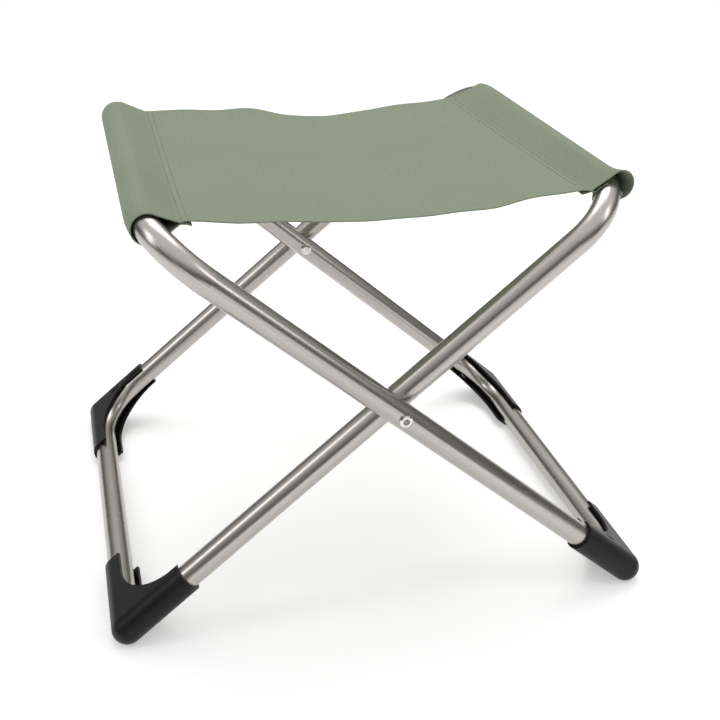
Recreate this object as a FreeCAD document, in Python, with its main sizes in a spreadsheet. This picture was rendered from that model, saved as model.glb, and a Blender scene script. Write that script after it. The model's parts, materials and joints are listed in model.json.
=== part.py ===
import FreeCAD, Part
import math
import os

import Sketcher
from FreeCAD import Placement, Rotation, Vector

# Folding camp stool: two closed tube frames crossed and riveted together in an X,
# with one sheet of cloth sewn round their two top bars, and a clip-on foot on each
# bottom corner. Origin at the middle of the footprint on the ground, +Z up, +X from
# the left top bar to the right one, millimetres.
#
# The left frame carries the left top bar and stands on the right; its front leg is
# outermost. The right frame is the same frame turned half round the Z axis.

DIMENSIONS = {
    # bent tube
    "tube_radius": 10.0,
    "tube_wall": 1.5,
    "bend_radius": 48.0,
    "top_reach": 230.0,
    "bottom_reach": 276.0,
    "leg_slope": 40.5,
    "outer_leg": 183.0,
    "inner_leg": 160.0,
    "joint_gap": 0.2,
    # pressed seat round each pivot hole
    "dish_radius": 40.0,
    "dish_depth": 0.8,
    # joiner inside the top bar and its two blind rivets
    "joiner_length": 80.0,
    "joiner_play": 0.05,
    "joiner_wall": 1.4,
    "joiner_rivet_radius": 1.6,
    "joiner_rivet_head": 3.2,
    "joiner_rivet_rise": 1.0,
    "joiner_rivet_tail": 2.4,
    "joiner_rivet_stem": 1.0,
    "joiner_rivet_spare": 0.5,
    "joiner_rivet_reach": 25.0,
    "joiner_rivet_dip": 22.0,
    # pivot rivet and spacer
    "pivot_radius": 3.0,
    "pivot_play": 0.05,
    "pivot_head_radius": 5.0,
    "pivot_head_rise": 1.6,
    "pivot_recess_radius": 2.6,
    "pivot_recess_depth": 4.0,
    "pivot_seat": 9.6,
    "pivot_end_play": 0.1,
    "spacer_radius": 5.5,
    # foot
    "foot_fit": 0.1,
    "foot_wall": 2.4,
    "foot_leg_arm": 64.0,
    "foot_bar_arm": 78.0,
    "foot_bar_edge": 9.5,
    "foot_leg_edge": 3.0,
    "foot_edge_radius": 53.0,
    "foot_flat": 0.5,
    "foot_rib": 3.0,
    "foot_rib_reach": 16.0,
    "foot_slot_length": 9.0,
    "foot_slot_width": 3.0,
    "foot_slot_up_leg": 30.0,
    "foot_slot_off_leg": 5.5,
    # cloth
    "cloth": 1.2,
    "sleeve_radius": 10.5,
    "sleeve_width": 256.0,
    "seat_width": 284.0,
    "seat_drop": 12.7,
    "fold_gap": 0.1,
    "seam_reach": 25.0,
    "hem_reach": 38.0,
    "hem_overlap": 4.0,
    "stitch_gap": 1.2,
    "stitch_pitch": 4.0,
    "thread": 0.6,
}

doc = FreeCAD.newDocument("camp_stool")
sheet = doc.addObject("Spreadsheet::Sheet", "Sizes")
for row, (alias, number) in enumerate(DIMENSIONS.items(), start=1):
    sheet.set(f"A{row}", alias)
    sheet.set(f"B{row}", str(number))
    sheet.setAlias(f"B{row}", alias)
doc.recompute()


def size(expression):
    """The number that an expression on the sheet gives, in millimetres or degrees."""
    return float(sheet.evalExpression(expression))


def bind(obj, **expressions):
    for name, expression in expressions.items():
        obj.setExpression(name, expression)


def origin_plane(body, role):
    return next(part for part in body.Origin.OriginFeatures if part.Role == role)


def new_sketch(body, name, role):
    sketch = body.newObject("Sketcher::SketchObject", name)
    sketch.AttachmentSupport = [(origin_plane(body, role), "")]
    sketch.MapMode = "FlatFace"
    return sketch


def pin_point(sketch, geometry, end, across, up):
    """Holds one end of an edge at a place given by two expressions on the sheet."""
    for kind, expression in (("DistanceX", across), ("DistanceY", up)):
        held = Sketcher.Constraint(kind, -1, 1, geometry, end, size(expression))
        number = sketch.addConstraint(held)
        sketch.setExpression(f"Constraints[{number}]", expression)


def circle_sketch(body, name, role, across, radius):
    sketch = new_sketch(body, name, role)
    centre = Vector(size(across), 0, 0)
    ring = Part.Circle(centre, Vector(0, 0, 1), size(radius))
    edge = sketch.addGeometry(ring)
    pin_point(sketch, edge, 3, across, "0")
    number = sketch.addConstraint(Sketcher.Constraint("Radius", edge, size(radius)))
    sketch.setExpression(f"Constraints[{number}]", radius)
    return sketch


def polygon_sketch(body, name, role, corners):
    """A closed outline of straight edges; each corner is a pair of expressions."""
    sketch = new_sketch(body, name, role)
    places = [Vector(size(across), size(up), 0) for across, up in corners]
    count = len(places)
    for i in range(count):
        sketch.addGeometry(Part.LineSegment(places[i], places[(i + 1) % count]))
    for i in range(count):
        sketch.addConstraint(Sketcher.Constraint("Coincident", i, 2, (i + 1) % count, 1))
        pin_point(sketch, i, 1, *corners[i])
    return sketch


def symmetric_pad(body, name, profile, length):
    pad = body.newObject("PartDesign::Pad", name)
    pad.Profile = profile
    pad.Midplane = True
    bind(pad, Length=length)
    return pad


def shape_feature(body, kind, name, place, **expressions):
    """A PartDesign primitive, such as an AdditiveCylinder, at a place in its body."""
    feature = body.newObject(f"PartDesign::{kind}", name)
    feature.Placement = place
    bind(feature, **expressions)
    return feature


# ---------------------------------------------------------------- frames

SLOPE = size("Sizes.leg_slope")
FOOT_RADIUS = "Sizes.tube_radius + Sizes.foot_fit + Sizes.foot_wall"
BAR_HEIGHT = size(f"{FOOT_RADIUS} - Sizes.foot_flat")
PIVOT_HEIGHT = BAR_HEIGHT + size("Sizes.bottom_reach * sin(Sizes.leg_slope * 1deg)")
TOP_BAR_X = size("Sizes.top_reach * cos(Sizes.leg_slope * 1deg)")
TOP_BAR_Z = PIVOT_HEIGHT + size("Sizes.top_reach * sin(Sizes.leg_slope * 1deg)")

# A frame is drawn flat, with X up its legs from the pivot and Y along its bars.
TURN_Y = Vector(0, 1, 0)
PIVOT = Vector(0, 0, PIVOT_HEIGHT)
FRAMES = {
    "left": Placement(PIVOT, Rotation(TURN_Y, 180 + SLOPE)),
    "right": Placement(PIVOT, Rotation(TURN_Y, -SLOPE)),
}
FRONT_LEG = {"left": "-Sizes.outer_leg", "right": "-Sizes.inner_leg"}
BACK_LEG = {"left": "Sizes.inner_leg", "right": "Sizes.outer_leg"}


def frame_path(body, front, back):
    """Centre line of a frame: a rounded rectangle, open at the top bar's butt joint."""
    path = new_sketch(body, "path", "XY_Plane")
    bend = size("Sizes.bend_radius")
    top = size("Sizes.top_reach")
    bottom = size("-Sizes.bottom_reach")
    front_y = size(front)
    back_y = size(back)

    def straight(x0, y0, x1, y1):
        path.addGeometry(Part.LineSegment(Vector(x0, y0, 0), Vector(x1, y1, 0)))

    def corner(x, y, start):
        ring = Part.Circle(Vector(x, y, 0), Vector(0, 0, 1), bend)
        path.addGeometry(Part.ArcOfCircle(ring, math.radians(start), math.radians(start + 90)))

    straight(top, 0, top, back_y - bend)
    corner(top - bend, back_y - bend, 0)
    straight(top - bend, back_y, bottom + bend, back_y)
    corner(bottom + bend, back_y - bend, 90)
    straight(bottom, back_y - bend, bottom, front_y + bend)
    corner(bottom + bend, front_y + bend, 180)
    straight(bottom + bend, front_y, top - bend, front_y)
    corner(top - bend, front_y + bend, 270)
    straight(top, front_y + bend, top, size("-Sizes.joint_gap"))

    for edge in range(8):
        path.addConstraint(Sketcher.Constraint("Tangent", edge, 2, edge + 1, 1))
    for edge in (0, 4, 8):
        path.addConstraint(Sketcher.Constraint("Vertical", edge))
    for edge in (2, 6):
        path.addConstraint(Sketcher.Constraint("Horizontal", edge))
    for edge in (3, 5, 7):
        path.addConstraint(Sketcher.Constraint("Equal", 1, edge))
    path.addConstraint(Sketcher.Constraint("PointOnObject", 0, 1, -1))
    dimensions = (
        ("Radius", (1,), "Sizes.bend_radius"),
        ("DistanceX", (-1, 1, 0, 1), "Sizes.top_reach"),
        ("DistanceX", (-1, 1, 4, 1), "-Sizes.bottom_reach"),
        ("DistanceY", (-1, 1, 2, 1), back),
        ("DistanceY", (-1, 1, 6, 1), front),
        ("DistanceY", (-1, 1, 8, 2), "-Sizes.joint_gap"),
    )
    for kind, ends, expression in dimensions:
        held = Sketcher.Constraint(kind, *ends, size(expression))
        number = path.addConstraint(held)
        path.setExpression(f"Constraints[{number}]", expression)
    return path


def swept_frame(name, side, radius, dish_radius):
    """A solid frame of one radius, hollowed by the four dishes round its pivot holes."""
    body = doc.addObject("PartDesign::Body", name)
    front = FRONT_LEG[side]
    back = BACK_LEG[side]
    path = frame_path(body, front, back)
    section = circle_sketch(body, "section", "XZ_Plane", "Sizes.top_reach", radius)
    pipe = body.newObject("PartDesign::AdditivePipe", "sweep")
    pipe.Profile = section
    pipe.Spine = (path, [])
    away = size("Sizes.tube_radius + Sizes.dish_radius - Sizes.dish_depth")
    for leg, leg_y in (("front", size(front)), ("back", size(back))):
        for face, way in (("ahead", -1), ("behind", 1)):
            place = Placement(Vector(0, leg_y + way * away, 0), Rotation())
            shape_feature(body, "SubtractiveSphere", f"{leg}_{face}_dish", place,
                          Radius=dish_radius)
    return body


def frame_tube(side):
    """One bent tube: outside less inside, with its pivot and joiner rivet holes."""
    outside = swept_frame(f"{side}_outside", side, "Sizes.tube_radius", "Sizes.dish_radius")
    inside = swept_frame(f"{side}_inside", side, "Sizes.tube_radius - Sizes.tube_wall",
                         "Sizes.dish_radius + Sizes.tube_wall")
    hole = "Sizes.pivot_radius + Sizes.pivot_play"
    for leg, leg_y in (("front", FRONT_LEG[side]), ("back", BACK_LEG[side])):
        start = size(f"{leg_y} - 2 * Sizes.tube_radius")
        place = Placement(Vector(0, start, 0), Rotation(Vector(1, 0, 0), -90))
        shape_feature(outside, "SubtractiveCylinder", f"{leg}_pivot_hole", place,
                      Radius=hole, Height="4 * Sizes.tube_radius")
    for number, y in enumerate(joiner_rivet_places()):
        place = Placement(Vector(size("Sizes.top_reach"), y, 0), joiner_rivet_turn(side))
        shape_feature(outside, "SubtractiveCylinder", f"joiner_hole_{number}", place,
                      Radius="Sizes.joiner_rivet_radius + Sizes.joiner_play",
                      Height="2 * Sizes.tube_radius")
    tube = doc.addObject("Part::Cut", f"{side}_frame_tube")
    tube.Base = outside
    tube.Tool = inside
    tube.Label = f"{side}_frame_tube"
    tube.Placement = FRAMES[side]
    return tube


def joiner_rivet_places():
    middle = size("-Sizes.joint_gap / 2")
    reach = size("Sizes.joiner_rivet_reach")
    return (middle - reach, middle + reach)


def joiner_rivet_turn(side):
    """Turns +Z to point from a top bar towards the seat, into the room inside the sleeve."""
    turn = 90 + size("Sizes.joiner_rivet_dip")
    inward = Rotation(TURN_Y, turn if side == "left" else -turn)
    return FRAMES[side].Rotation.inverted() * inward


def frame_joiner(side):
    """Short inner tube that bridges the butt joint in the top bar."""
    body = doc.addObject("PartDesign::Body", f"{side}_frame_joiner")
    body.Label = f"{side}_frame_joiner"
    outer = "Sizes.tube_radius - Sizes.tube_wall - Sizes.joiner_play"
    place = Placement(Vector(0, size("-Sizes.joiner_length / 2"), 0),
                      Rotation(Vector(1, 0, 0), -90))
    shape_feature(body, "AdditiveCylinder", "spigot", place,
                  Radius=outer, Height="Sizes.joiner_length")
    shape_feature(body, "SubtractiveCylinder", "spigot_bore", place,
                  Radius=f"{outer} - Sizes.joiner_wall", Height="Sizes.joiner_length")
    middle = size("-Sizes.joint_gap / 2")
    for number, y in enumerate(joiner_rivet_places()):
        hole = Placement(Vector(0, y - middle, 0), joiner_rivet_turn(side))
        shape_feature(body, "SubtractiveCylinder", f"rivet_hole_{number}", hole,
                      Radius="Sizes.joiner_rivet_radius + Sizes.joiner_play",
                      Height="2 * Sizes.tube_radius")
    top = Placement(Vector(size("Sizes.top_reach"), middle, 0), Rotation())
    body.Placement = FRAMES[side] * top
    return body


def joiner_rivets(side):
    """Two blind rivets through tube and joiner, heads facing into the cloth sleeve."""
    rivets = []
    inside = size("Sizes.tube_radius - Sizes.tube_wall - Sizes.joiner_play - Sizes.joiner_wall")
    for number, y in enumerate(joiner_rivet_places()):
        shank = doc.addObject("Part::Cylinder", f"{side}_rivet_shank_{number}")
        bind(shank, Radius="Sizes.joiner_rivet_radius",
             Height="Sizes.tube_wall + Sizes.joiner_wall + Sizes.joiner_play"
             " + Sizes.joiner_rivet_spare")
        shank.Placement = Placement(Vector(0, 0, inside), Rotation())
        head = doc.addObject("Part::Cone", f"{side}_rivet_head_{number}")
        bind(head, Radius1="Sizes.joiner_rivet_head", Radius2="Sizes.joiner_rivet_radius",
             Height="Sizes.joiner_rivet_rise")
        head.Placement = Placement(Vector(0, 0, size("Sizes.tube_radius")), Rotation())
        tail = doc.addObject("Part::Cylinder", f"{side}_rivet_tail_{number}")
        bind(tail, Radius="Sizes.joiner_rivet_tail", Height="Sizes.joiner_rivet_rise")
        tail_drop = size("Sizes.joiner_rivet_rise + Sizes.joiner_rivet_spare")
        tail.Placement = Placement(Vector(0, 0, inside - tail_drop), Rotation())
        stem = doc.addObject("Part::Cylinder", f"{side}_rivet_stem_{number}")
        bind(stem, Radius="Sizes.joiner_rivet_stem", Height="Sizes.joiner_rivet_rise")
        stem_drop = size("Sizes.joiner_rivet_spare + Sizes.joiner_rivet_rise / 4")
        stem.Placement = Placement(Vector(0, 0, inside - stem_drop), Rotation())
        rivet = doc.addObject("Part::MultiFuse", f"{side}_rivet_{number}")
        rivet.Shapes = [shank, head, tail, stem]
        local = Placement(Vector(size("Sizes.top_reach"), y, 0), joiner_rivet_turn(side))
        rivet.Placement = FRAMES[side] * local
        rivets.append(rivet)
    group = doc.addObject("Part::Compound", f"{side}_joiner_rivets")
    group.Label = f"{side}_joiner_rivets"
    group.Links = rivets
    return group


# ---------------------------------------------------------------- pivots

def pivot_rivet(label, turn):
    """Semi-tubular rivet through both legs, its rolled open end on the outermost leg."""
    body = doc.addObject("PartDesign::Body", label)
    body.Label = label
    length = ("(Sizes.outer_leg - Sizes.inner_leg) + 2 * Sizes.pivot_seat"
              " + Sizes.pivot_end_play")
    rim = "Sizes.pivot_head_radius"
    rise = "Sizes.pivot_head_rise"
    hollow = "Sizes.pivot_recess_radius"
    corners = [
        (hollow, f"-{rise}"),
        (f"{rim} * 0.8", f"-{rise}"),
        (rim, f"-{rise} * 0.55"),
        (rim, "0"),
        ("Sizes.pivot_radius", "0"),
        ("Sizes.pivot_radius", length),
        (rim, length),
        (rim, f"{length} + {rise} * 0.35"),
        (f"{rim} * 0.7", f"{length} + {rise} * 0.8"),
        ("0", f"{length} + {rise}"),
        ("0", f"Sizes.pivot_recess_depth - {rise}"),
        (hollow, f"Sizes.pivot_recess_depth - {rise}"),
    ]
    profile = polygon_sketch(body, "half_section", "XY_Plane", corners)
    revolved = body.newObject("PartDesign::Revolution", "turned")
    revolved.Profile = profile
    revolved.ReferenceAxis = (profile, ["V_Axis"])
    revolved.Angle = 360
    outer_end = size("-Sizes.outer_leg - Sizes.pivot_seat")
    place = Placement(Vector(0, outer_end, 0), Rotation())
    body.Placement = Placement(PIVOT, Rotation(Vector(0, 0, 1), turn)) * place
    return body


def pivot_spacer(label, turn):
    """Washer between the two legs, free to slip on the inner leg."""
    body = doc.addObject("PartDesign::Body", label)
    body.Label = label
    start = size("-Sizes.outer_leg + Sizes.pivot_seat")
    place = Placement(Vector(0, 0, 0), Rotation(Vector(1, 0, 0), -90))
    thickness = ("Sizes.outer_leg - Sizes.inner_leg - 2 * Sizes.pivot_seat"
                 " - Sizes.pivot_end_play")
    shape_feature(body, "AdditiveCylinder", "disc", place,
                  Radius="Sizes.spacer_radius", Height=thickness)
    shape_feature(body, "SubtractiveCylinder", "hole", place,
                  Radius="Sizes.pivot_radius + Sizes.pivot_play", Height=thickness)
    body.Placement = (Placement(PIVOT, Rotation(Vector(0, 0, 1), turn))
                      * Placement(Vector(0, start, 0), Rotation()))
    return body


# ---------------------------------------------------------------- feet

def foot(label, side, leg):
    """Moulded corner foot: a channel round the bent tube, with a hollow pointed toe.

    Drawn with X up the leg and Y in along the bar, from the point where their centre
    lines would cross. The same moulding fits front and back: the back one is turned over.
    """
    body = doc.addObject("PartDesign::Body", label)
    body.Label = label
    leg_arm = "Sizes.foot_leg_arm"
    bar_arm = "Sizes.foot_bar_arm"
    inner = "Sizes.tube_radius + Sizes.foot_fit"
    leg_edge = "Sizes.foot_leg_edge"
    bar_edge = "Sizes.foot_bar_edge"
    along_x = Placement(Vector(), Rotation(Vector(0, 1, 0), 90))
    along_y = Placement(Vector(), Rotation(Vector(1, 0, 0), -90))

    cheeks = new_sketch(body, "cheeks", "XY_Plane")
    edge_radius = "Sizes.foot_edge_radius"
    centre_x = f"{bar_edge} + {edge_radius}"
    centre_y = f"{leg_edge} + {edge_radius}"
    corners = [("0", "0"), (leg_arm, "0"), (leg_arm, leg_edge), (centre_x, leg_edge),
               (bar_edge, centre_y), (bar_edge, bar_arm), ("0", bar_arm)]
    places = [Vector(size(across), size(up), 0) for across, up in corners]
    for i in (0, 1, 2):
        cheeks.addGeometry(Part.LineSegment(places[i], places[i + 1]))
    ring = Part.Circle(Vector(size(centre_x), size(centre_y), 0), Vector(0, 0, 1),
                       size(edge_radius))
    cheeks.addGeometry(Part.ArcOfCircle(ring, math.radians(180), math.radians(270)))
    for i in (4, 5):
        cheeks.addGeometry(Part.LineSegment(places[i], places[i + 1]))
    cheeks.addGeometry(Part.LineSegment(places[6], places[0]))
    for edge, end, after, start in ((0, 2, 1, 1), (1, 2, 2, 1), (2, 2, 3, 2),
                                    (3, 1, 4, 1), (4, 2, 5, 1), (5, 2, 6, 1), (6, 2, 0, 1)):
        cheeks.addConstraint(Sketcher.Constraint("Coincident", edge, end, after, start))
    for edge, corner in ((0, 0), (1, 1), (2, 2), (4, 4), (5, 5), (6, 6)):
        pin_point(cheeks, edge, 1, *corners[corner])
    pin_point(cheeks, 2, 2, *corners[3])
    number = cheeks.addConstraint(Sketcher.Constraint("Radius", 3, size(edge_radius)))
    cheeks.setExpression(f"Constraints[{number}]", edge_radius)
    symmetric_pad(body, "cheek_block", cheeks, f"2 * ({FOOT_RADIUS})")

    shape_feature(body, "AdditiveCylinder", "leg_arm", along_x,
                  Radius=FOOT_RADIUS, Height=leg_arm)
    shape_feature(body, "AdditiveCylinder", "bar_arm", along_y,
                  Radius=FOOT_RADIUS, Height=bar_arm)
    shape_feature(body, "AdditiveSphere", "toe", Placement(), Radius=FOOT_RADIUS)

    over = 1.0
    channel = Placement(Vector(0, 0, -size(inner)), Rotation())
    shape_feature(body, "SubtractiveBox", "channel", channel, Length=f"{leg_arm} + {over}",
                  Width=f"{bar_arm} + {over}", Height=f"2 * ({inner})")
    shape_feature(body, "SubtractiveCylinder", "leg_hollow", along_x,
                  Radius=inner, Height=leg_arm)
    shape_feature(body, "SubtractiveCylinder", "bar_hollow", along_y,
                  Radius=inner, Height=bar_arm)
    shape_feature(body, "SubtractiveSphere", "toe_hollow", Placement(), Radius=inner)

    # A rib on the diagonal backs the bend and ends on the tube.
    diagonal = Rotation(Vector(0, 0, 1), 45)
    half_rib = size("Sizes.foot_rib / 2")
    rib_half_height = size(f"{inner} + {over}")
    disc = Placement(diagonal.multVec(Vector(0, half_rib, 0)),
                     diagonal * Rotation(Vector(1, 0, 0), 90))
    shape_feature(body, "AdditiveCylinder", "rib_disc", disc,
                  Radius=f"{inner} + {over}", Height="Sizes.foot_rib")
    plate = Placement(diagonal.multVec(Vector(0, -half_rib, -rib_half_height)), diagonal)
    shape_feature(body, "AdditiveBox", "rib_plate", plate, Length="Sizes.foot_rib_reach",
                  Width="Sizes.foot_rib", Height=f"2 * ({inner} + {over})")
    bend = size("Sizes.bend_radius")
    shape_feature(body, "SubtractiveTorus", "bend_seat", Placement(Vector(bend, bend, 0), Rotation()),
                  Radius1="Sizes.bend_radius", Radius2="Sizes.tube_radius")

    # A slot through one cheek, in the web between the arms.
    slot_start = size("Sizes.foot_slot_up_leg - Sizes.foot_slot_length / 2")
    slot_side = size("Sizes.foot_slot_off_leg - Sizes.foot_slot_width / 2")
    slot = Placement(Vector(slot_start, slot_side, -2 * size(inner)), Rotation())
    shape_feature(body, "SubtractiveBox", "slot", slot, Length="Sizes.foot_slot_length",
                  Width="Sizes.foot_slot_width", Height=f"2 * ({inner})")

    # A narrow flat where the bar arm stands on the ground.
    lower_face_up = (side == "right") == (leg == "front")
    tilt = SLOPE if lower_face_up else 180 - SLOPE
    sole_depth = 5.0
    sole_turn = Rotation(TURN_Y, tilt)
    corner = Vector(size(f"-2 * ({FOOT_RADIUS})"), size(f"-2 * ({FOOT_RADIUS})"),
                    -BAR_HEIGHT - sole_depth)
    shape_feature(body, "SubtractiveBox", "ground_flat",
                  Placement(sole_turn.multVec(corner), sole_turn),
                  Length=f"4 * ({FOOT_RADIUS})", Height=str(sole_depth),
                  Width=f"{bar_arm} + 4 * ({FOOT_RADIUS})")

    leg_y = size(FRONT_LEG[side] if leg == "front" else BACK_LEG[side])
    flip = Rotation(Vector(1, 0, 0), 0 if leg == "front" else 180)
    corner_place = Placement(Vector(size("-Sizes.bottom_reach"), leg_y, 0), flip)
    body.Placement = FRAMES[side] * corner_place
    return body


# ---------------------------------------------------------------- cloth

# The cloth is one sheet, pulled straight from each top bar down to the fold in the
# middle. Each half is drawn along that line, from its own top bar's centre, with X
# towards the fold and the two layers of its sleeve closing on the line like a teardrop.

DROP = math.degrees(math.atan2(size("Sizes.seat_drop"), TOP_BAR_X))
SEATS = {
    "left": Placement(Vector(-TOP_BAR_X, 0, TOP_BAR_Z), Rotation(TURN_Y, DROP)),
    "right": Placement(Vector(TOP_BAR_X, 0, TOP_BAR_Z),
                       Rotation(Vector(0, 0, 1), 180) * Rotation(TURN_Y, DROP)),
}
SHIFT = "(Sizes.inner_leg - Sizes.outer_leg) / 2"
FOLD = ("sqrt((Sizes.top_reach * cos(Sizes.leg_slope * 1deg)) ^ 2 + Sizes.seat_drop ^ 2)"
        " - Sizes.fold_gap")
LAYER = "(Sizes.sleeve_radius + Sizes.cloth / 2)"
SLEEVE_OUTER = "(Sizes.sleeve_radius + Sizes.cloth)"
SLEEVE_END = f"{SLEEVE_OUTER} * Sizes.seam_reach / {LAYER}"


def seat_panel(side):
    """Single layer of cloth from the end of the sleeve to the middle of the seat."""
    body = doc.addObject("PartDesign::Body", f"seat_{side}_panel")
    body.Label = f"seat_{side}_panel"
    half = "Sizes.seat_width / 2"
    plan = polygon_sketch(body, "plan", "XY_Plane", [
        (SLEEVE_END, f"{SHIFT} - {half}"), (FOLD, f"-{half}"),
        (FOLD, half), (SLEEVE_END, f"{SHIFT} + {half}")])
    symmetric_pad(body, "layer", plan, "Sizes.cloth")
    body.Placement = SEATS[side]
    return body


def teardrop(radius):
    """Corners that close a round of this radius to the point where the layers meet."""
    lean = f"{LAYER} / Sizes.seam_reach"
    across = f"{radius} * {lean}"
    up = f"{radius} * sqrt(1 - ({lean}) ^ 2)"
    return [("0", "0"), (across, f"-{up}"), (f"{radius} / ({lean})", "0"), (across, up)]


def seat_sleeve(side):
    """Cloth turned round the top bar and sewn back to itself, with a free hem."""
    body = doc.addObject("PartDesign::Body", f"seat_{side}_sleeve")
    body.Label = f"seat_{side}_sleeve"
    width = "Sizes.sleeve_width"
    start = size(f"-{width} / 2")
    along = Placement(Vector(0, start, 0), Rotation(Vector(1, 0, 0), -90))
    inner = "Sizes.sleeve_radius"

    outline = polygon_sketch(body, "outline", "XZ_Plane", teardrop(SLEEVE_OUTER))
    symmetric_pad(body, "point", outline, width)
    shape_feature(body, "AdditiveCylinder", "round", along, Radius=SLEEVE_OUTER, Height=width)
    hem_start = size(f"{SLEEVE_END} - Sizes.hem_overlap")
    hem = Placement(Vector(hem_start, start, size("-1.5 * Sizes.cloth")), Rotation())
    shape_feature(body, "AdditiveBox", "hem", hem, Height="Sizes.cloth", Width=width,
                  Length=f"Sizes.hem_reach - {SLEEVE_END} + Sizes.hem_overlap")
    shape_feature(body, "SubtractiveCylinder", "bar_room", along, Radius=inner, Height=width)
    inside = polygon_sketch(body, "inside", "XZ_Plane", teardrop(inner))
    hollow = body.newObject("PartDesign::Pocket", "hollow")
    hollow.Profile = inside
    hollow.Midplane = True
    bind(hollow, Length=width)
    body.Placement = SEATS[side] * Placement(Vector(0, size(SHIFT), 0), Rotation())
    return body


def seat_stitching(side):
    """Two rows of thread through all layers, along the seam."""
    rows = []
    for number, gap in enumerate(("0", "Sizes.stitch_pitch")):
        row = doc.addObject("Part::Box", f"{side}_stitch_row_{number}")
        bind(row, Length="Sizes.thread", Height="Sizes.thread / 2", Width="Sizes.sleeve_width")
        place = Vector(size(f"{SLEEVE_END} + Sizes.stitch_gap + {gap}"),
                       size(f"{SHIFT} - Sizes.sleeve_width / 2"), size("Sizes.cloth / 2"))
        row.Placement = SEATS[side] * Placement(place, Rotation())
        rows.append(row)
    group = doc.addObject("Part::Compound", f"seat_{side}_stitching")
    group.Label = f"seat_{side}_stitching"
    group.Links = rows
    return group


# ---------------------------------------------------------------- assembly

parts = []
for frame_side in ("left", "right"):
    parts.append(frame_tube(frame_side))
    parts.append(frame_joiner(frame_side))
    parts.append(joiner_rivets(frame_side))
    parts.append(seat_sleeve(frame_side))
    parts.append(seat_panel(frame_side))
    parts.append(seat_stitching(frame_side))
for end, half_turn in (("front", 0), ("back", 180)):
    parts.append(pivot_rivet(f"{end}_pivot_rivet", half_turn))
    parts.append(pivot_spacer(f"{end}_pivot_spacer", half_turn))
# The left frame stands on the right, so its feet are the right ones.
for end in ("front", "back"):
    parts.append(foot(f"foot_{end}_right", "left", end))
    parts.append(foot(f"foot_{end}_left", "right", end))
doc.recompute()

for obj in doc.Objects:
    if "Invalid" in obj.State or "Error" in obj.State:
        raise RuntimeError(f"{obj.Name} did not build: {obj.State}")
os.makedirs("parts", exist_ok=True)
for part in parts:
    shape = part.Shape
    if shape.isNull() or not shape.isValid():
        raise RuntimeError(f"{part.Label} has no valid shape")
    print(f"{part.Label:24s} solids {len(shape.Solids)} volume {shape.Volume:10.1f}")
    shape.exportStep(f"parts/{part.Label}.step")
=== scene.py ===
import json
import math

import bpy
from mathutils import Euler, Matrix, Vector


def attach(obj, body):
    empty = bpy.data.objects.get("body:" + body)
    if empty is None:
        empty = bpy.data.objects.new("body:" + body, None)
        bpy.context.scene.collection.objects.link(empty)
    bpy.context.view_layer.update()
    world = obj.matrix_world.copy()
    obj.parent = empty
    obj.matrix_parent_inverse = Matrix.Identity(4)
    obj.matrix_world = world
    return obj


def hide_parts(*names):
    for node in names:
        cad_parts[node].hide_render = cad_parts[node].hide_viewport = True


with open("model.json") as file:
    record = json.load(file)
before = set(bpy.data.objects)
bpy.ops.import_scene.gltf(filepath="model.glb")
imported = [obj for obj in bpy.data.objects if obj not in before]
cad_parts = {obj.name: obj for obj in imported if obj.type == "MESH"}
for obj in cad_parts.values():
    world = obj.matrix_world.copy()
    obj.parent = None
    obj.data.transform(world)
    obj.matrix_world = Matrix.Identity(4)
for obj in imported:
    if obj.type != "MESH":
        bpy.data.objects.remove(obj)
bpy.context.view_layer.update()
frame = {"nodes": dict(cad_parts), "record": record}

# ---------------------------------------------------------------- studio
# A white floor, in a room that is pale overhead and dark at eye level, with three soft
# panels. The room shows beyond the floor in low views. None of it is part of the stool.

FLOOR_SIZE = 14.0
FLOOR_WHITE = (0.86, 0.86, 0.86, 1)
# A little light of the floor's own, so that it comes out near white.
FLOOR_GLOW = 0.34
ROOM_DARK = (0.050, 0.047, 0.042, 1)
ROOM_PALE = (1.0, 1.0, 1.0, 1)
ROOM_STRENGTH = 0.95
STOOL_MIDDLE = (0, 0, 0.2)

floor_material = bpy.data.materials.new("studio_floor")
floor_material.use_nodes = True
floor_shader = floor_material.node_tree.nodes["Principled BSDF"]
floor_shader.inputs["Base Color"].default_value = FLOOR_WHITE
floor_shader.inputs["Roughness"].default_value = 0.8
floor_shader.inputs["Specular IOR Level"].default_value = 0.1
floor_shader.inputs["Emission Color"].default_value = (1, 1, 1, 1)
floor_shader.inputs["Emission Strength"].default_value = FLOOR_GLOW

bpy.ops.object.select_all(action="DESELECT")
bpy.ops.mesh.primitive_plane_add(size=FLOOR_SIZE, location=(0, 0, 0))
floor = bpy.context.object
floor.name = "floor"
floor.data.materials.append(floor_material)

world = bpy.data.worlds.new("studio")
bpy.context.scene.world = world
bpy.context.scene.view_settings.view_transform = "Standard"
world.use_nodes = True
room = world.node_tree
room_shader = room.nodes["Background"]
room_place = room.nodes.new("ShaderNodeTexCoord")
room_height = room.nodes.new("ShaderNodeSeparateXYZ")
room_tone = room.nodes.new("ShaderNodeValToRGB")
room_tone.color_ramp.interpolation = "EASE"
room_tone.color_ramp.elements[0].position = 0.10
room_tone.color_ramp.elements[0].color = ROOM_DARK
room_tone.color_ramp.elements[1].position = 0.80
room_tone.color_ramp.elements[1].color = ROOM_PALE
room.links.new(room_place.outputs["Generated"], room_height.inputs["Vector"])
room.links.new(room_height.outputs["Z"], room_tone.inputs["Fac"])
room.links.new(room_tone.outputs["Color"], room_shader.inputs["Color"])
room_shader.inputs["Strength"].default_value = ROOM_STRENGTH


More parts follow.
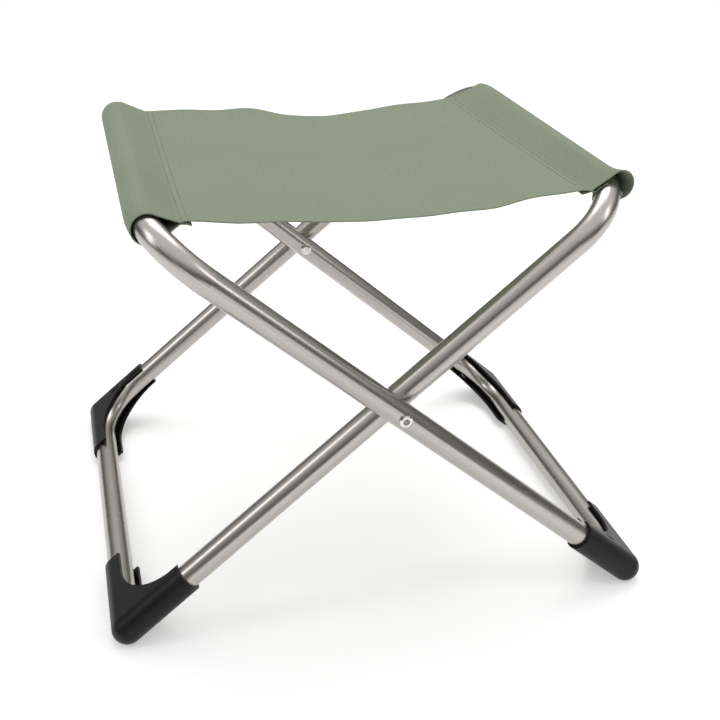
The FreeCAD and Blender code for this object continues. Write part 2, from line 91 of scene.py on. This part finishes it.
def soft_panel(name, place, width, height, power):
    """A rectangular light at a place, facing the middle of the stool."""
    light = bpy.data.lights.new(name, "AREA")
    light.shape = "RECTANGLE"
    light.size = width
    light.size_y = height
    light.energy = power
    holder = bpy.data.objects.new(name, light)
    bpy.context.scene.collection.objects.link(holder)
    holder.location = place
    holder.rotation_euler = (Vector(STOOL_MIDDLE) - Vector(place)).to_track_quat("-Z", "Y").to_euler()


soft_panel("top_panel", (0.2, 0.7, 2.0), 1.4, 0.9, 13)
soft_panel("left_panel", (-1.8, -0.3, 1.2), 0.4, 1.2, 5)
soft_panel("right_panel", (1.6, -1.1, 1.5), 0.4, 1.2, 5)

# ---------------------------------------------------------------- camera
# Standing in front of the stool and a little to its left, looking down on the seat.

CAMERA_PLACE = Vector((-0.2167, -0.8427, 0.5973))
CAMERA_TURN = math.radians(18.10)
CAMERA_DIP = math.radians(28.02)
CAMERA_ROLL = math.radians(2.71)
CAMERA_LENS = 54.3
CAMERA_SHIFT = (-0.0597, 0.0158)

camera_data = bpy.data.cameras.new("camera")
camera_data.lens = CAMERA_LENS
camera_data.shift_x = CAMERA_SHIFT[0]
camera_data.shift_y = CAMERA_SHIFT[1]
camera_data.clip_start = 0.01
camera = bpy.data.objects.new("camera", camera_data)
bpy.context.scene.collection.objects.link(camera)
bpy.context.scene.camera = camera
aim = Euler((math.pi / 2 - CAMERA_DIP, 0, -CAMERA_TURN)).to_matrix()
camera.matrix_world = (Matrix.Translation(CAMERA_PLACE)
                       @ (aim @ Matrix.Rotation(CAMERA_ROLL, 3, "Z")).to_4x4())

# ---------------------------------------------------------------- frame tubes
# Two closed frames of 20 mm tube, satin finished. The finishing belt ran along the
# tube, so its grain follows the legs and the bars.

LEG_SLOPE = math.radians(40.5)
pivot = Vector(next(j["pos_m"] for j in frame["record"]["behaviour"]["joints"]
                    if j["name"] == "frame_fold"))
# From the pivot along a leg, where its grain ends and the grain of the bar begins.
LEG_GRAIN_END = 0.19
# How finely the grain repeats along a tube and round it.
GRAIN_ALONG = 6
GRAIN_ROUND = 900


def new_material(name):
    """A node material with its shader, and a function that adds a node to it."""
    material = bpy.data.materials.new(name)
    material.use_nodes = True
    tree = material.node_tree
    shader = tree.nodes["Principled BSDF"]

    def node(kind, **settings):
        made = tree.nodes.new(kind)
        for key, value in settings.items():
            setattr(made, key, value)
        return made

    return material, tree, shader, node


def ramp(node, low, high, dark, pale):
    """A colour ramp between two colours."""
    made = node("ShaderNodeValToRGB")
    made.color_ramp.elements[0].position = low
    made.color_ramp.elements[1].position = high
    made.color_ramp.elements[0].color = (*dark, 1)
    made.color_ramp.elements[1].color = (*pale, 1)
    return made


def satin_tube(name, turn):
    """Satin metal with fine grain along the legs and along the bars of one frame."""
    material, tree, shader, node = new_material(name)
    link = tree.links.new
    place = node("ShaderNodeTexCoord")
    along = node("ShaderNodeMapping", vector_type="TEXTURE")
    along.inputs["Location"].default_value = pivot
    along.inputs["Rotation"].default_value = (0, turn, 0)
    link(place.outputs["Object"], along.inputs["Vector"])

    grains = []
    for stretch in ((GRAIN_ALONG, GRAIN_ROUND, GRAIN_ROUND),
                    (GRAIN_ROUND, GRAIN_ALONG, GRAIN_ROUND)):
        scaled = node("ShaderNodeMapping")
        scaled.inputs["Scale"].default_value = stretch
        link(along.outputs["Vector"], scaled.inputs["Vector"])
        grain = node("ShaderNodeTexNoise")
        grain.inputs["Scale"].default_value = 1.0
        grain.inputs["Detail"].default_value = 2.0
        link(scaled.outputs["Vector"], grain.inputs["Vector"])
        grains.append(grain)

    split = node("ShaderNodeSeparateXYZ")
    link(along.outputs["Vector"], split.inputs["Vector"])
    reach = node("ShaderNodeMath", operation="ABSOLUTE")
    link(split.outputs["X"], reach.inputs[0])
    on_bar = node("ShaderNodeMath", operation="GREATER_THAN")
    on_bar.inputs[1].default_value = LEG_GRAIN_END
    link(reach.outputs[0], on_bar.inputs[0])
    mixed = node("ShaderNodeMix", data_type="FLOAT")
    link(on_bar.outputs[0], mixed.inputs["Factor"])
    link(grains[0].outputs["Fac"], mixed.inputs["A"])
    link(grains[1].outputs["Fac"], mixed.inputs["B"])

    clouds = node("ShaderNodeTexNoise")
    clouds.inputs["Scale"].default_value = 22.0
    clouds.inputs["Detail"].default_value = 3.0
    link(place.outputs["Object"], clouds.inputs["Vector"])

    tint = ramp(node, 0.3, 0.7, (0.42, 0.397, 0.367), (0.50, 0.476, 0.444))
    link(mixed.outputs["Result"], tint.inputs["Fac"])
    link(tint.outputs["Color"], shader.inputs["Base Color"])
    gloss = node("ShaderNodeMapRange")
    gloss.inputs["To Min"].default_value = 0.25
    gloss.inputs["To Max"].default_value = 0.30
    link(clouds.outputs["Fac"], gloss.inputs["Value"])
    link(gloss.outputs["Result"], shader.inputs["Roughness"])
    bump = node("ShaderNodeBump")
    bump.inputs["Strength"].default_value = 0.05
    bump.inputs["Distance"].default_value = 0.0002
    link(mixed.outputs["Result"], bump.inputs["Height"])
    link(bump.outputs["Normal"], shader.inputs["Normal"])
    shader.inputs["Metallic"].default_value = 1.0
    return material


def finish_node(name, material):
    """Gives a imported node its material."""
    data = frame["nodes"][name].data
    data.materials.clear()
    data.materials.append(material)


finish_node("left_frame_tube", satin_tube("satin_tube_left", math.pi + LEG_SLOPE))
finish_node("right_frame_tube", satin_tube("satin_tube_right", -LEG_SLOPE))

# ---------------------------------------------------------------- pivots and joiners
# Bright plated rivets and washers at the two pivots, and the joiners and blind rivets
# that close each frame inside its cloth sleeve.

# The darkest of the clouding, as a share of the plate's own colour.
DARKER_SHARE = 0.78


def plated(name, colour, roughness, scale):
    """Plated metal with faint clouding from tumbling and handling."""
    material, tree, shader, node = new_material(name)
    place = node("ShaderNodeTexCoord")
    clouds = node("ShaderNodeTexNoise")
    clouds.inputs["Scale"].default_value = scale
    clouds.inputs["Detail"].default_value = 4.0
    tree.links.new(place.outputs["Object"], clouds.inputs["Vector"])
    darker = tuple(DARKER_SHARE * part for part in colour)
    tint = ramp(node, 0.35, 0.65, darker, colour)
    tree.links.new(clouds.outputs["Fac"], tint.inputs["Fac"])
    tree.links.new(tint.outputs["Color"], shader.inputs["Base Color"])
    bump = node("ShaderNodeBump")
    bump.inputs["Strength"].default_value = 0.1
    bump.inputs["Distance"].default_value = 0.0002
    tree.links.new(clouds.outputs["Fac"], bump.inputs["Height"])
    tree.links.new(bump.outputs["Normal"], shader.inputs["Normal"])
    shader.inputs["Metallic"].default_value = 1.0
    shader.inputs["Roughness"].default_value = roughness
    return material


bright_plate = plated("bright_plate", (0.78, 0.765, 0.74), 0.22, 260.0)
for end in ("front", "back"):
    finish_node(f"{end}_pivot_rivet", bright_plate)
    finish_node(f"{end}_pivot_spacer", bright_plate)
drawn_metal = plated("drawn_metal", (0.62, 0.62, 0.62), 0.35, 140.0)
for side in ("left", "right"):
    finish_node(f"{side}_frame_joiner", drawn_metal)
    finish_node(f"{side}_joiner_rivets", drawn_metal)

# ---------------------------------------------------------------- feet
# Soft black plastic mouldings clipped round the bottom bends, with a fine matt grain.


def black_moulding():
    """Black moulded plastic, scuffed a little paler in places."""
    material, tree, shader, node = new_material("black_moulding")
    link = tree.links.new
    place = node("ShaderNodeTexCoord")
    grain = node("ShaderNodeTexNoise")
    grain.inputs["Scale"].default_value = 1500.0
    grain.inputs["Detail"].default_value = 2.0
    link(place.outputs["Object"], grain.inputs["Vector"])
    scuffs = node("ShaderNodeTexNoise")
    scuffs.inputs["Scale"].default_value = 70.0
    scuffs.inputs["Detail"].default_value = 5.0
    link(place.outputs["Object"], scuffs.inputs["Vector"])
    tint = ramp(node, 0.45, 0.8, (0.003, 0.003, 0.0032), (0.008, 0.008, 0.0082))
    link(scuffs.outputs["Fac"], tint.inputs["Fac"])
    link(tint.outputs["Color"], shader.inputs["Base Color"])
    gloss = node("ShaderNodeMapRange")
    gloss.inputs["To Min"].default_value = 0.33
    gloss.inputs["To Max"].default_value = 0.5
    link(scuffs.outputs["Fac"], gloss.inputs["Value"])
    link(gloss.outputs["Result"], shader.inputs["Roughness"])
    bump = node("ShaderNodeBump")
    bump.inputs["Strength"].default_value = 0.15
    bump.inputs["Distance"].default_value = 0.0003
    link(grain.outputs["Fac"], bump.inputs["Height"])
    link(bump.outputs["Normal"], shader.inputs["Normal"])
    shader.inputs["Specular IOR Level"].default_value = 0.25
    return material


foot_material = black_moulding()
for end in ("front", "back"):
    for side in ("left", "right"):
        finish_node(f"foot_{end}_{side}", foot_material)

# ---------------------------------------------------------------- seat cloth
# One sheet of close-woven cloth, stretched between the top bars. Each end turns round
# its bar and is sewn back to itself, so the sleeve closes to a point at the seam. The
# sheet is made as two halves that meet at the fold, each turning with its own bar.

left_bar = Vector(next(j["pos_m"] for j in frame["record"]["behaviour"]["joints"]
                       if j["name"] == "seat_left_turn"))
HALF_SEAT = -left_bar.x
BAR_Z = left_bar.z
TUBE = 0.010
BEND = 0.048
OUTER_LEG = 0.183
INNER_LEG = 0.160
LEG_WAY = (math.cos(LEG_SLOPE), -math.sin(LEG_SLOPE))

CLOTH = 0.0009
WRAP = TUBE + 0.0007 + CLOTH / 2
FOLD_DROP = 0.0127
FOLD_SLOPE = math.atan2(FOLD_DROP, HALF_SEAT)
CHORD = math.hypot(HALF_SEAT, FOLD_DROP)
SEAM = 0.0250
# The seams were not sewn square: each runs farther from its bar behind than in front.
SEAM_SKEW = {-1: 0.0015, 1: 0.0045}
HEM = 0.0330
LAYER_GAP = 0.0011
# How far the front corner of the hem hangs down, and the share of half the width over
# which that fades.
HEM_DROOP = 0.0022
HEM_DROOP_SPREAD = 0.07
SHEET_WIDTH = 0.290
SHEET_SHIFT = -0.0028
SHEET_SKEW = 0.0088
# How far each open end of a sleeve goes with the bend of its tube: 1 is all the way,
# 0 is straight on, and below 0 its lip stands off the bend.
FOLLOW = {(-1, -1): 0.6, (-1, 1): 1.0, (1, -1): -0.6, (1, 1): 0.5}


# Slack along the raw edges, in front and behind: each swell's height, middle and spread.
FRONT_RISE = 0.0042
FRONT_SWELLS = ((0.0012, -0.076, 0.024), (-0.0008, 0.010, 0.026),
                (-0.0010, 0.078, 0.016), (0.0014, 0.112, 0.018))
BACK_SWELLS = ((0.0084, -0.058, 0.030), (0.0044, -0.112, 0.030),
               (-0.0010, 0.012, 0.024), (0.0022, 0.088, 0.034))
# The share of half the width over which the swells fade from each edge, and the share of
# the half next to the bar where the cloth is held down.
FRONT_FADE = 0.20
BACK_FADE = 0.24
BAR_FADE = 0.16
# A low wave all over the sheet: its height, and its closeness along and across the seat.
LOW_WAVE = 0.0004
WAVE_ALONG = 70
WAVE_ACROSS = 4
# Height and closeness of the two ripples of a raw edge.
EDGE_RIPPLES = ((0.0007, 61), (0.0005, 137))
# Rows of the mesh in each part of the section, and columns across the sheet.
SEAT_ROWS = 64
SLEEVE_ROWS = 12
WRAP_ROWS = 28
HEM_ROWS = 7
# The cloth goes round a bend no further than this share of its radius.
BEND_SHARE = 0.9
SHEET_COLUMNS = 120
WEAVE_SCALE = 260.0


def swell(x, bumps):
    """Sum of smooth swells along the seat."""
    return sum(height * math.exp(-((x - middle) / spread) ** 2)
               for height, middle, spread in bumps)


def cut_edge(x, end):
    """How far out the raw edge of the sheet runs at x, in front or behind."""
    (broad, broad_wave), (fine, fine_wave) = EDGE_RIPPLES
    ripple = broad * math.sin(x * broad_wave + end)
    ripple += fine * math.sin(x * fine_wave + 2 * end)
    middle = SHEET_SHIFT + SHEET_SKEW * x / HALF_SEAT
    return middle + end * (SHEET_WIDTH / 2 + ripple)


def lift(x, across):
    """How far the slack edges of the sheet rise above its even sag."""
    front = math.exp(-(1 + across) / FRONT_FADE)
    back = math.exp(-(1 - across) / BACK_FADE)
    fade = min(1.0, (1 - abs(x) / HALF_SEAT) / BAR_FADE) ** 2
    rise = front * (FRONT_RISE + swell(x, FRONT_SWELLS)) + back * swell(x, BACK_SWELLS)
    rise += LOW_WAVE * math.sin(x * WAVE_ALONG) * math.sin(across * WAVE_ACROSS)
    return rise * fade


def seam_line(side, across):
    """How far from its bar a sleeve is sewn shut."""
    return SEAM + SEAM_SKEW[side] * across


def seat_layer(s, side, across):
    """Height of the single layer above the line from bar to fold, at s along it."""
    seam = seam_line(side, across)
    share = (s - seam) / (CHORD - seam)
    sag = math.tan(FOLD_SLOPE) * (CHORD - seam) * share * (1 - share)
    return lift(side * (HALF_SEAT - s), across) - sag


def strip_stations():
    """Stations along one half, from the fold to the hem: a section and a share of it."""
    stations = [("seat", CHORD + (SEAM - CHORD) * i / SEAT_ROWS)
                for i in range(SEAT_ROWS + 1)]
    stations += [("upper", i / SLEEVE_ROWS) for i in range(1, SLEEVE_ROWS + 1)]
    stations += [("wrap", i / WRAP_ROWS) for i in range(1, WRAP_ROWS + 1)]
    stations += [("under", i / SLEEVE_ROWS) for i in range(1, SLEEVE_ROWS + 1)]
    stations += [("hem", SEAM + (HEM - SEAM) * i / HEM_ROWS)
                 for i in range(1, HEM_ROWS + 1)]
    return stations


def strip_section(station, side, across):
    """Place of a station along the line from bar to fold, and its height above it."""
    section, share = station
    seam = seam_line(side, across)
    if section == "seat":
        reach = share + (seam - SEAM) * (CHORD - share) / (CHORD - SEAM)
        return reach, seat_layer(reach, side, across)
    if section == "hem":
        front = math.exp(-(1 + across) / HEM_DROOP_SPREAD)
        flap = (share - SEAM) / (HEM - SEAM)
        reach = share + seam - SEAM
        return reach, seat_layer(reach, side, across) - LAYER_GAP - HEM_DROOP * front * flap
    close = math.asin(WRAP / SEAM)
    if section == "wrap":
        angle = math.pi / 2 - close + share * (math.pi + 2 * close)
        return WRAP * math.cos(angle), WRAP * math.sin(angle)
    touch = (WRAP * math.sin(close), WRAP * math.cos(close))
    if section == "upper":
        top = seat_layer(seam, side, across)
        return seam + (touch[0] - seam) * share, top + (touch[1] - top) * share
    end = seat_layer(seam, side, across) - LAYER_GAP
    return touch[0] + (seam - touch[0]) * share, -touch[1] + (end + touch[1]) * share


def clear_of_tube(a, b, y, side):
    """Moves a point of the sleeve with the tube's bend, and keeps it off the tube."""
    end = -1 if y < 0 else 1
    leg = end * (OUTER_LEG if side * end > 0 else INNER_LEG)
    past = end * (y - leg) + BEND
    if past <= 0:
        return a, b
    turn = math.asin(min(past / BEND, BEND_SHARE))
    shift = BEND * (1 - math.cos(turn))
    follow = FOLLOW[(side, end)] * max(0.0, 1 - max(a, 0.0) / SEAM)
    a += shift * LEG_WAY[0] * follow
    b += shift * LEG_WAY[1] * follow
    from_a = a - shift * LEG_WAY[0]
    from_b = b - shift * LEG_WAY[1]
    along = (from_a * LEG_WAY[0] + from_b * LEG_WAY[1]) * math.cos(turn)
    beside = from_a * LEG_WAY[1] - from_b * LEG_WAY[0]
    room = (TUBE + CLOTH) / max(math.hypot(along, beside), 1e-6)
    if room > 1:
        a = shift * LEG_WAY[0] + from_a * room
        b = shift * LEG_WAY[1] + from_b * room
    return a, b


def cloth_place(station, side, across):
    """Point of the cloth's middle surface at a station, and its distances a and b."""
    s, n = strip_section(station, side, across)
    a = s * math.cos(FOLD_SLOPE) + n * math.sin(FOLD_SLOPE)
    b = n * math.cos(FOLD_SLOPE) - s * math.sin(FOLD_SLOPE)
    x = side * (HALF_SEAT - max(a, 0.0))
    front = cut_edge(x, -1)
    y = front + (cut_edge(x, 1) - front) * (across + 1) / 2
    if station[0] != "seat":
        a, b = clear_of_tube(a, b, y, side)
    return Vector((side * (HALF_SEAT - a), y, BAR_Z + b))


def woven_cloth():
    """Close plain weave in sage green, a little paler where it is rubbed."""
    material, tree, shader, node = new_material("sage_cloth")
    link = tree.links.new
    flat = node("ShaderNodeUVMap", uv_map="cloth_flat")
    threads = []
    for direction in ("X", "Y"):
        wave = node("ShaderNodeTexWave", bands_direction=direction)
        wave.inputs["Scale"].default_value = WEAVE_SCALE
        wave.inputs["Distortion"].default_value = 1.2
        wave.inputs["Detail"].default_value = 1.0
        wave.inputs["Detail Scale"].default_value = 2.0
        link(flat.outputs["UV"], wave.inputs["Vector"])
        threads.append(wave)
    weave = node("ShaderNodeMath", operation="MULTIPLY")
    link(threads[0].outputs["Fac"], weave.inputs[0])
    link(threads[1].outputs["Fac"], weave.inputs[1])
    slubs = node("ShaderNodeTexNoise")
    slubs.inputs["Scale"].default_value = 420.0
    slubs.inputs["Detail"].default_value = 3.0
    link(flat.outputs["UV"], slubs.inputs["Vector"])
    patches = node("ShaderNodeTexNoise")
    patches.inputs["Scale"].default_value = 9.0
    patches.inputs["Detail"].default_value = 3.0
    link(flat.outputs["UV"], patches.inputs["Vector"])

    yarn = ramp(node, 0.25, 0.8, (0.225, 0.270, 0.180), (0.290, 0.335, 0.240))
    link(slubs.outputs["Fac"], yarn.inputs["Fac"])
    faded = ramp(node, 0.3, 0.75, (0.95, 0.96, 0.95), (1.04, 1.03, 1.05))
    link(patches.outputs["Fac"], faded.inputs["Fac"])
    tinted = node("ShaderNodeMix", data_type="RGBA", blend_type="MULTIPLY")
    tinted.inputs["Factor"].default_value = 1.0
    link(yarn.outputs["Color"], tinted.inputs["A"])
    link(faded.outputs["Color"], tinted.inputs["B"])
    shade = node("ShaderNodeMix", data_type="RGBA", blend_type="MULTIPLY")
    shade.inputs["Factor"].default_value = 0.16
    link(tinted.outputs["Result"], shade.inputs["A"])
    link(weave.outputs[0], shade.inputs["B"])
    link(shade.outputs["Result"], shader.inputs["Base Color"])

    relief = node("ShaderNodeMath", operation="ADD")
    link(weave.outputs[0], relief.inputs[0])
    link(slubs.outputs["Fac"], relief.inputs[1])
    bump = node("ShaderNodeBump")
    bump.inputs["Strength"].default_value = 0.35
    bump.inputs["Distance"].default_value = 0.0003
    link(relief.outputs[0], bump.inputs["Height"])
    link(bump.outputs["Normal"], shader.inputs["Normal"])
    shader.inputs["Roughness"].default_value = 0.82
    shader.inputs["Specular IOR Level"].default_value = 0.3
    shader.inputs["Sheen Weight"].default_value = 0.08
    shader.inputs["Sheen Roughness"].default_value = 0.5
    return material


cloth_material = woven_cloth()


def cloth_half(side_name, side):
    """One half of the sheet, from the fold round its bar to the hem."""
    stations = strip_stations()
    rows = len(stations) - 1
    bpy.ops.object.select_all(action="DESELECT")
    bpy.ops.mesh.primitive_grid_add(x_subdivisions=rows, y_subdivisions=SHEET_COLUMNS,
                                    size=2.0)
    cloth = bpy.context.object
    cloth.name = f"seat_cloth_{side_name}"
    mesh = cloth.data
    mesh.uv_layers.active.name = "cloth_flat"

    run = [0.0]
    for row in range(rows):
        step = cloth_place(stations[row + 1], side, 0) - cloth_place(stations[row], side, 0)
        run.append(run[-1] + step.length)
    rows_of = {}
    for vertex in mesh.vertices:
        row = round((vertex.co.x + 1) / 2 * rows)
        rows_of[vertex.index] = row
        vertex.co = cloth_place(stations[row], side, vertex.co.y)
    for loop in mesh.loops:
        y = mesh.vertices[loop.vertex_index].co.y
        mesh.uv_layers.active.data[loop.index].uv = (run[rows_of[loop.vertex_index]], y)

    if side > 0:
        bpy.ops.object.mode_set(mode="EDIT")
        bpy.ops.mesh.select_all(action="SELECT")
        bpy.ops.mesh.flip_normals()
        bpy.ops.object.mode_set(mode="OBJECT")
    thicken = cloth.modifiers.new("thickness", "SOLIDIFY")
    thicken.thickness = CLOTH
    thicken.offset = 0.0
    bpy.ops.object.modifier_apply(modifier="thickness")
    bpy.ops.object.shade_smooth_by_angle(angle=math.radians(50))
    mesh.materials.append(cloth_material)
    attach(cloth, f"seat_{side_name}")
    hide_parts(f"seat_{side_name}_panel", f"seat_{side_name}_sleeve")
    print(f"cloth half {side_name}: {run[-1]:.4f} m from fold to hem")
    return cloth


cloth_half("left", -1)
cloth_half("right", 1)

# ---------------------------------------------------------------- seams
# Two rows of lock stitches hold each sleeve. Each stitch is a short length of thread
# that dips into the cloth at both ends.

STITCH = 0.0036
STITCH_PITCH = 0.0044
THREAD = 0.0009
STITCH_ROWS = (0.0265, 0.0307)
STITCH_INSET = 0.003
# The ends of a stitch go down into the cloth, and its middle line is just above it.
STITCH_DIP = THREAD * 0.55
STITCH_STAND = THREAD * 0.12


def thread_material():
    """Twisted sewing thread, a shade darker than the cloth."""
    material, tree, shader, node = new_material("sage_thread")
    place = node("ShaderNodeTexCoord")
    twist = node("ShaderNodeTexNoise")
    twist.inputs["Scale"].default_value = 1800.0
    tree.links.new(place.outputs["Object"], twist.inputs["Vector"])
    tint = ramp(node, 0.3, 0.7, (0.155, 0.190, 0.120), (0.22, 0.26, 0.18))
    tree.links.new(twist.outputs["Fac"], tint.inputs["Fac"])
    tree.links.new(tint.outputs["Color"], shader.inputs["Base Color"])
    shader.inputs["Roughness"].default_value = 0.6
    return material


seam_thread = thread_material()


def seam(side_name, side):
    """Both rows of stitches of one sleeve, as one piece of thread."""
    bpy.ops.object.select_all(action="DESELECT")
    bpy.ops.mesh.primitive_cylinder_add(vertices=6, radius=THREAD / 2, depth=STITCH,
                                        rotation=(math.pi / 2, 0, 0))
    stitch = bpy.context.object
    bpy.ops.object.transform_apply(location=False, rotation=True, scale=False)
    bpy.ops.object.mode_set(mode="EDIT")
    bpy.ops.mesh.select_all(action="SELECT")
    bpy.ops.mesh.bisect(plane_co=(0, 0, 0), plane_no=(0, 1, 0))
    bpy.ops.object.mode_set(mode="OBJECT")
    for vertex in stitch.data.vertices:
        if abs(vertex.co.y) > STITCH / 4:
            vertex.co.z -= STITCH_DIP
    copies = []
    for place in STITCH_ROWS:
        length = SHEET_WIDTH - 2 * STITCH_INSET
        for i in range(int(length / STITCH_PITCH) + 1):
            across = (i * STITCH_PITCH - length / 2) / (SHEET_WIDTH / 2)
            spot = cloth_place(("seat", place), side, across)
            spot.z += CLOTH / 2 + STITCH_STAND
            copy = stitch.copy()
            copy.data = stitch.data.copy()
            copy.data.transform(Matrix.Translation(spot))
            bpy.context.scene.collection.objects.link(copy)
            copies.append(copy)
    bpy.ops.object.select_all(action="DESELECT")
    for copy in copies:
        copy.select_set(True)
    bpy.context.view_layer.objects.active = copies[0]
    bpy.ops.object.join()
    thread = bpy.context.object
    thread.name = f"seam_thread_{side_name}"
    bpy.ops.object.shade_smooth()
    bpy.data.objects.remove(stitch)
    thread.data.materials.clear()
    thread.data.materials.append(seam_thread)
    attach(thread, f"seat_{side_name}")
    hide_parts(f"seat_{side_name}_stitching")


seam("left", -1)
seam("right", 1)
